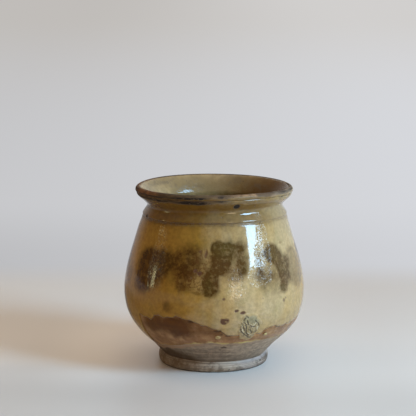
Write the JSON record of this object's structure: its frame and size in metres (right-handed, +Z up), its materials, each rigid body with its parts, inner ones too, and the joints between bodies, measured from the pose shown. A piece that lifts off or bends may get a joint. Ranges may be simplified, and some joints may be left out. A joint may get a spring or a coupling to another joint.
{
  "type": "confit pot",
  "caption": "Round-bellied glazed earthenware pot with a turned foot, a collar and a flared rolled rim, open at the top for storing preserved food.",
  "frame": {"origin": "middle of the standing ring under the foot, on the surface that the pot stands on", "axes": "+Z up along the turning axis; -Y is the front, the side with the kiln scar, as pictured"},
  "size_m": [0.1522, 0.1522, 0.1505],
  "materials": {
    "bare_clay": "unglazed fired clay, dull, with fine turning streaks",
    "glazed_clay": "thin clear glaze over brown clay",
    "worn_rim": "rubbed brown clay with dark sooty patches",
    "yellow_glaze": "glossy amber glaze over pale slip, with brown and green oxide dabs",
    "inside_glaze": "glossy olive-yellow glaze",
    "scar_glaze": "wrinkled glossy glaze"
  },
  "bodies": {
    "root": {"foot": "bare_clay", "belly": "glazed_clay", "collar": "glazed_clay", "rim": "worn_rim", "outer_glaze": "yellow_glaze", "inner_glaze": "inside_glaze", "kiln_scar": "scar_glaze", "glaze_drop_1": "yellow_glaze", "glaze_drop_2": "yellow_glaze"}
  },
  "joints": []
}
